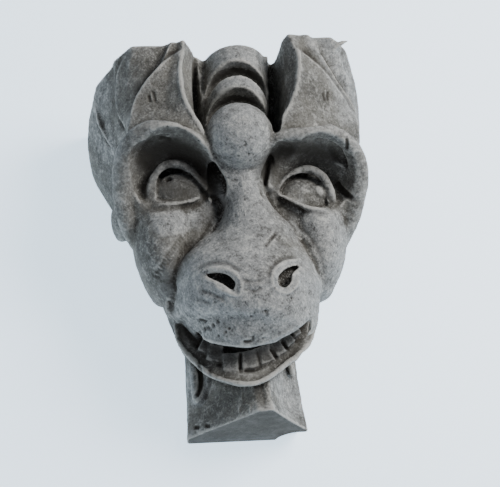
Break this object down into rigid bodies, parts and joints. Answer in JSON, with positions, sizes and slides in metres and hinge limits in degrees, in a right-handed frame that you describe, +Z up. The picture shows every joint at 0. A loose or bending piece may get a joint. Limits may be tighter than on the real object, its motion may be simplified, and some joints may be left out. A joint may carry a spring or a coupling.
{
  "type": "stone corbel",
  "caption": "Small cast-stone corbel carved as a comic dragon's face with folded ears, a forehead ball and a toothy grin, fixed to a wall by its flat back to carry a shelf or end a moulding",
  "frame": {"origin": "middle of the flat back, on the wall plane, half the height up", "axes": "+Z up along the height, +Y out of the back into the wall, face looks along -Y, +X across"},
  "size_m": [0.1481, 0.1038, 0.183],
  "materials": {
    "cast_stone": "matt cast stone, mid grey with brownish hollows and paler rubbed edges"
  },
  "bodies": {
    "root": {"corbel": "cast_stone"}
  },
  "joints": []
}
